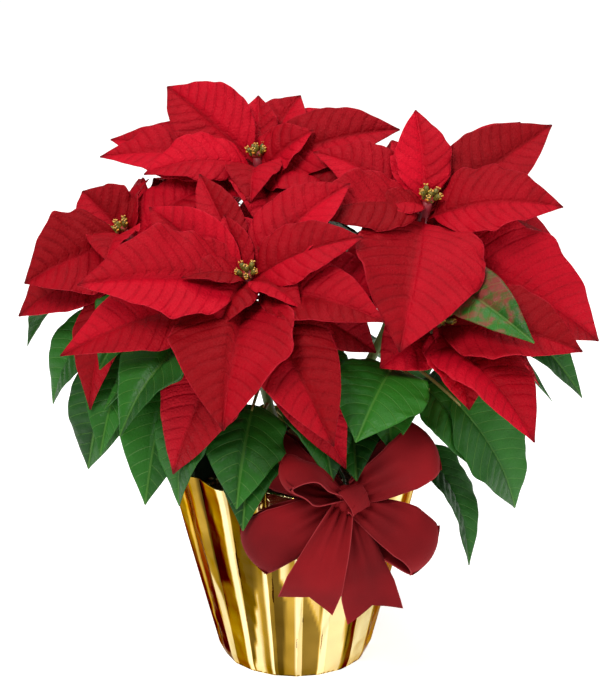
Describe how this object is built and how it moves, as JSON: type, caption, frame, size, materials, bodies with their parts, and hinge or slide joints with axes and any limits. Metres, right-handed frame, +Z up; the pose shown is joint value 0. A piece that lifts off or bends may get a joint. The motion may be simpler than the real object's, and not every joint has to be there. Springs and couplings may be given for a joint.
{
  "type": "potted poinsettia",
  "caption": "Potted poinsettia with red bracts over green leaves, in a pleated gold foil cover with a ribbon bow on a wire pick.",
  "frame": {"origin": "on the surface that the foil cover rests on, under the middle of the pot", "axes": "+Z up, -Y towards the front where the bow is, +X to the right seen from the front"},
  "size_m": [0.4122, 0.3327, 0.4182],
  "materials": {
    "gold_foil": "bright metallised film, sharply creased",
    "pot_plastic": "dark green injection-moulded plastic",
    "potting_mix": "damp crumbly peat mix",
    "stem": "smooth green-brown bark",
    "leaf": "satin leaf with raised veins beneath",
    "bract": "velvety red bract, quilted between its veins",
    "flower": "waxy yellow-green buds",
    "ribbon": "dark red velvet ribbon",
    "pick_wire": "green enamelled florist wire"
  },
  "bodies": {
    "root": {"foil_wrap": "gold_foil", "nursery_pot": "pot_plastic", "soil": "potting_mix", "trunk": "stem", "leafy_stem_front_left": "leaf", "leafy_stem_right": "leaf", "leafy_stem_top": "leaf", "leafy_stem_front_right": "leaf", "leafy_stem_left": "leaf", "leafy_stem_back_right": "leaf", "leafy_stem_back_left": "leaf", "bloom_front_left": "bract", "bloom_right": "bract", "bloom_top": "bract", "bloom_front_right": "bract", "bloom_left": "bract", "bloom_back_right": "bract", "bloom_back_left": "bract", "cyathia_front_left": "flower", "cyathia_right": "flower", "cyathia_top": "flower", "cyathia_front_right": "flower", "cyathia_left": "flower", "cyathia_back_right": "flower", "cyathia_back_left": "flower", "bow": "ribbon", "bow_pick": "pick_wire"}
  },
  "joints": []
}
